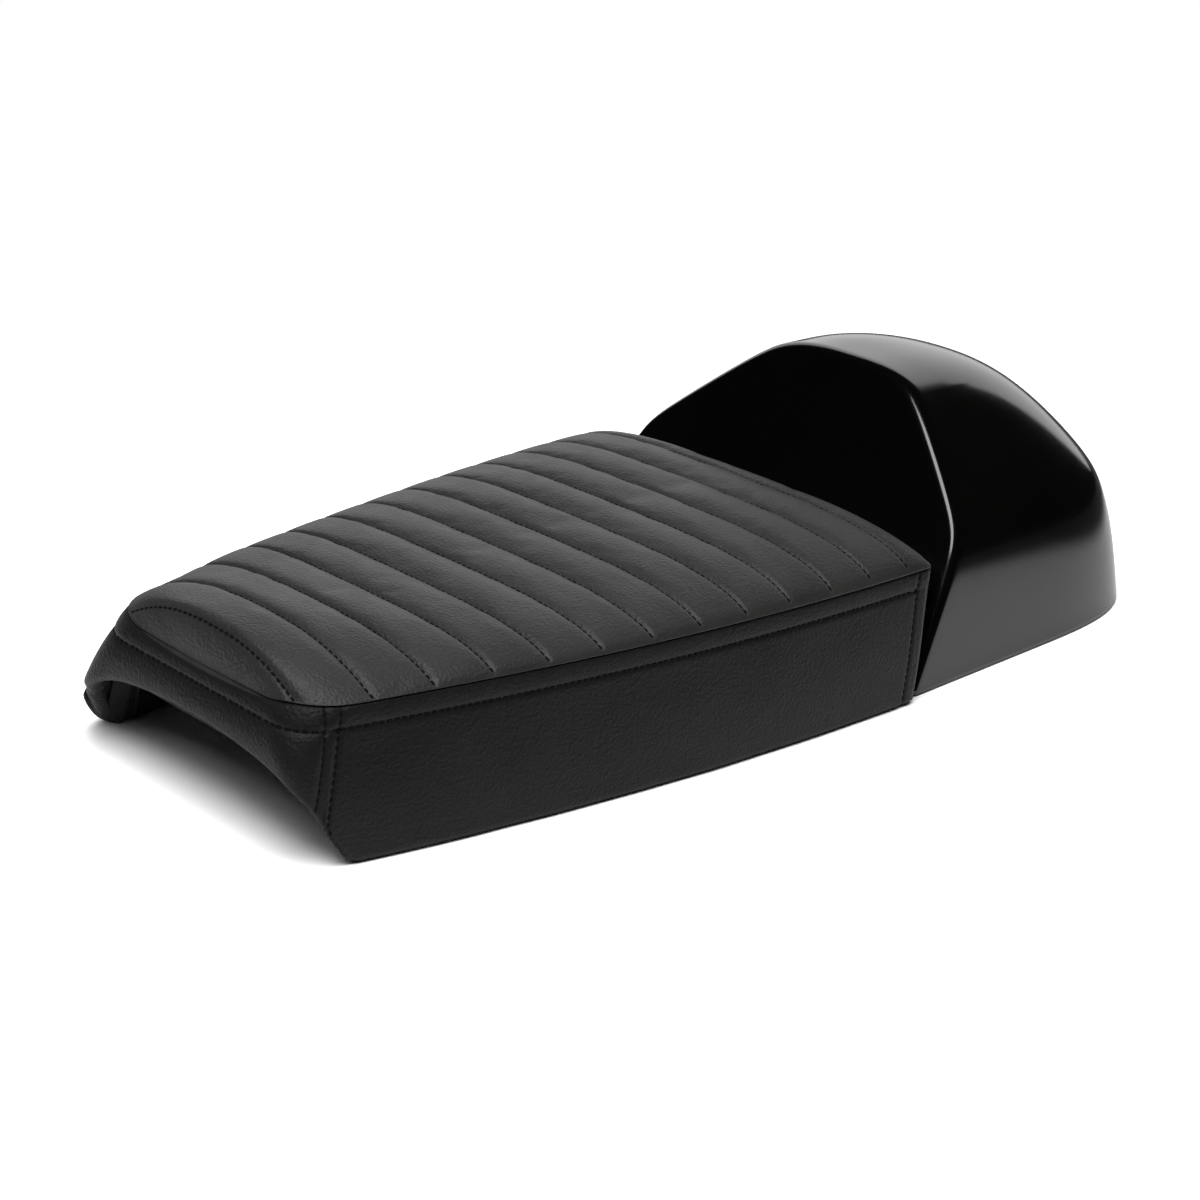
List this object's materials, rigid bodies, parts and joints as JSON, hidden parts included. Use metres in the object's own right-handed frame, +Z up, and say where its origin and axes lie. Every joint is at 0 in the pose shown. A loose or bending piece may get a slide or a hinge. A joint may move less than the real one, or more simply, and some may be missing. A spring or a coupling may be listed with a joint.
{
  "type": "cafe racer seat",
  "caption": "Motorcycle saddle with a cross-pleated vinyl top over a hollow moulded pan, and a gloss black tail cowl with a closed front wall behind the rider.",
  "frame": {"origin": "middle of the seat's length and width, on the surface that it rests on", "axes": "+X to the tail, -Y to the rider's left, +Z up"},
  "size_m": [0.6053, 0.2556, 0.1384],
  "materials": {
    "cover_vinyl": "black vinyl with a fine leather grain, low sheen",
    "cowl_gloss": "gloss black moulding",
    "pan_moulding": "matt black moulding",
    "seat_foam": "open-cell foam, charcoal",
    "zinc_steel": "zinc-plated steel",
    "insert_brass": "turned brass",
    "buffer_rubber": "moulded black rubber"
  },
  "bodies": {
    "root": {"base_pan": "pan_moulding", "seat_foam": "seat_foam", "side_padding_left": "seat_foam", "side_padding_right": "seat_foam", "cover_top_panel": "cover_vinyl", "cover_front_panel": "cover_vinyl", "cover_side_panel_left": "cover_vinyl", "cover_side_panel_right": "cover_vinyl", "cover_rear_panel": "cover_vinyl", "tail_cowl": "cowl_gloss", "cowl_inserts": "insert_brass", "cowl_bolts": "zinc_steel", "cowl_bolt_washers": "zinc_steel", "stud_plates": "zinc_steel", "mounting_studs": "zinc_steel", "rubber_buffers": "buffer_rubber"}
  },
  "joints": []
}
